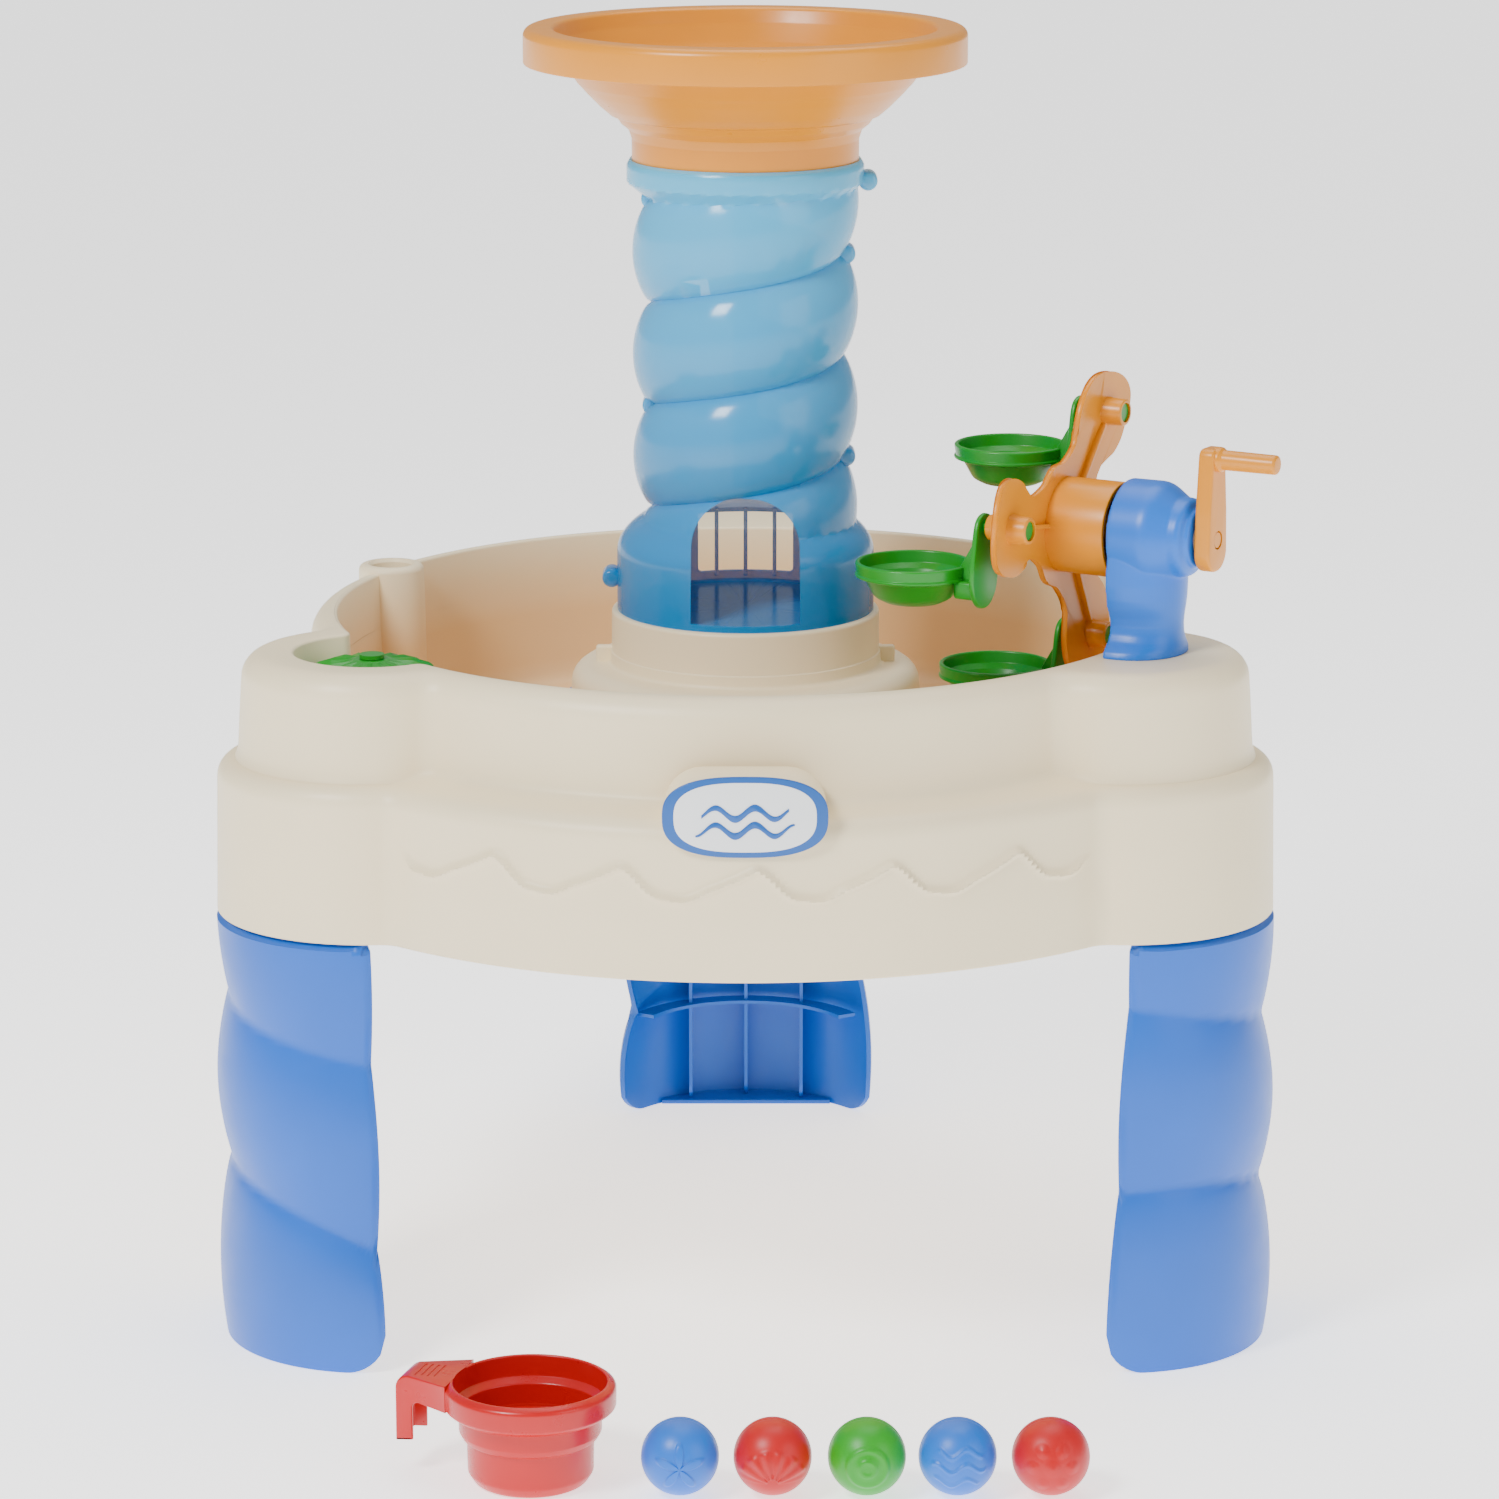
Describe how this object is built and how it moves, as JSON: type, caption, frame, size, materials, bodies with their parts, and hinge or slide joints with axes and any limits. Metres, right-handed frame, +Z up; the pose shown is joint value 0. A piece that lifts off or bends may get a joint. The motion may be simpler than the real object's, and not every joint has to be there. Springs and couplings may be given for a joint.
{
  "type": "sand and water table",
  "caption": "Toddler sand and water table: lobed basin on three legs, spiral ball tower under a funnel, crank-driven wheel of hanging cups, spinner, scoop and loose balls.",
  "frame": {"origin": "on the ground, under the vertical axis of the round basin and the tower", "axes": "+Z up; -Y towards the front, where the tower's door and the loose toys are; +X to the right of someone facing the front"},
  "size_m": [0.7726, 0.9658, 0.938],
  "materials": {
    "tray_cream": "satin rotation-moulded plastic",
    "leg_blue": "satin moulded plastic",
    "tower_blue": "translucent tinted plastic",
    "ramp_clear": "translucent plastic",
    "orange": "glossy moulded plastic",
    "green": "glossy moulded plastic",
    "post_blue": "glossy moulded plastic",
    "scoop_red": "glossy moulded plastic",
    "ball_blue": "soft vinyl",
    "ball_red": "soft vinyl",
    "ball_green": "soft vinyl",
    "plaque": "printed plastic",
    "screw_steel": "zinc plated",
    "shaft_steel": "plain",
    "bush_white": "acetal",
    "seal_rubber": "soft"
  },
  "bodies": {
    "root": {"tray": "tray_cream", "front_plaque": "plaque", "leg_left": "leg_blue", "leg_right": "leg_blue", "leg_rear": "leg_blue", "leg_screws": "screw_steel", "tower_front": "tower_blue", "tower_back": "tower_blue", "spiral_ramp": "ramp_clear", "tower_screws": "screw_steel", "funnel": "orange", "lever_pin": "shaft_steel", "spinner_pin": "shaft_steel", "wheel_post": "post_blue", "post_screws": "screw_steel", "wheel_bush": "bush_white"},
    "wheel": {"wheel_spider": "orange", "wheel_shaft": "shaft_steel", "hub_screw": "screw_steel", "crank": "orange", "crank_screw": "screw_steel"},
    "cup_1": {"cup_1": "green", "cup_cap_1": "green"},
    "cup_2": {"cup_2": "green", "cup_cap_2": "green"},
    "cup_3": {"cup_3": "green", "cup_cap_3": "green"},
    "spinner": {"spinner": "green"},
    "gate_lever": {"gate_lever": "orange"},
    "drain_plug": {"drain_plug": "post_blue", "plug_seal": "seal_rubber"},
    "scoop": {"scoop": "scoop_red"},
    "ball_1": {"ball_1": "ball_blue"},
    "ball_2": {"ball_2": "ball_red"},
    "ball_3": {"ball_3": "ball_green"},
    "ball_4": {"ball_4": "ball_blue"},
    "ball_5": {"ball_5": "ball_red"}
  },
  "joints": [
    {"name": "wheel_spin", "type": "hinge", "parent": "root", "child": "wheel", "pos_m": [0.24685, -0.13444, 0.594], "axis": [0.866, -0.5, 0], "continuous": true},
    {"name": "cup_1_hang", "type": "hinge", "parent": "wheel", "child": "cup_1", "pos_m": [0.26146, -0.07714, 0.66818], "axis": [0.866, -0.5, 0], "continuous": true},
    {"name": "cup_2_hang", "type": "hinge", "parent": "wheel", "child": "cup_2", "pos_m": [0.18665, -0.20672, 0.6062], "axis": [0.866, -0.5, 0], "continuous": true},
    {"name": "cup_3_hang", "type": "hinge", "parent": "wheel", "child": "cup_3", "pos_m": [0.25089, -0.09545, 0.50762], "axis": [0.866, -0.5, 0], "continuous": true},
    {"name": "spinner_spin", "type": "hinge", "parent": "root", "child": "spinner", "pos_m": [-0.26821, -0.15485, 0.485], "axis": [0, 0, 1], "continuous": true},
    {"name": "gate_lever_turn", "type": "hinge", "parent": "root", "child": "gate_lever", "pos_m": [-0.05334, 0.07618, 0.7355], "axis": [0, 0, 1], "range_deg": [0, 25]},
    {"name": "drain_plug_pull", "type": "slide", "parent": "root", "child": "drain_plug", "axis": [0, 0, 1], "range_m": [0, 0.04]},
    {"name": "scoop_lift", "type": "slide", "parent": "root", "child": "scoop", "axis": [0, 0, 1], "range_m": [0, 0.15]},
    {"name": "ball_1_lift", "type": "slide", "parent": "root", "child": "ball_1", "axis": [0, 0, 1], "range_m": [0, 0.12]},
    {"name": "ball_2_lift", "type": "slide", "parent": "root", "child": "ball_2", "axis": [0, 0, 1], "range_m": [0, 0.12]},
    {"name": "ball_3_lift", "type": "slide", "parent": "root", "child": "ball_3", "axis": [0, 0, 1], "range_m": [0, 0.12]},
    {"name": "ball_4_lift", "type": "slide", "parent": "root", "child": "ball_4", "axis": [0, 0, 1], "range_m": [0, 0.12]},
    {"name": "ball_5_lift", "type": "slide", "parent": "root", "child": "ball_5", "axis": [0, 0, 1], "range_m": [0, 0.12]}
  ],
  "couplings": [
    {"joint": "cup_1_hang", "follows": "wheel_spin", "ratio": -1},
    {"joint": "cup_2_hang", "follows": "wheel_spin", "ratio": -1},
    {"joint": "cup_3_hang", "follows": "wheel_spin", "ratio": -1}
  ]
}
